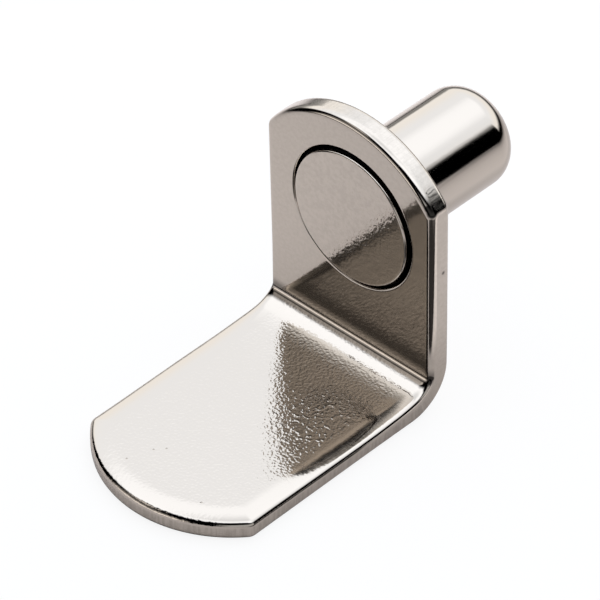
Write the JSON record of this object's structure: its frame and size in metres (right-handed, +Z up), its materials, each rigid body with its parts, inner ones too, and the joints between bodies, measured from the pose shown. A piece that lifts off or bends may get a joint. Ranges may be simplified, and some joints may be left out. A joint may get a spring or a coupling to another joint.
{
  "type": "shelf support pin",
  "caption": "L-shaped shelf support: a round-ended tongue carries the shelf, and a headed pin through the upright leg plugs into the cabinet side.",
  "frame": {"origin": "where the pin's axis meets the back face of the leg, the face that lies against the cabinet side", "axes": "+Y along the pin, into the cabinet side; +Z up, along the leg; +X across the strip; the tongue points along -Y"},
  "size_m": [0.01, 0.0224, 0.0137],
  "materials": {
    "bracket_plating": "bright nickel plate on stamped steel",
    "pin_plating": "bright nickel plate on turned steel"
  },
  "bodies": {
    "root": {"bracket": "bracket_plating", "pin": "pin_plating"}
  },
  "joints": []
}
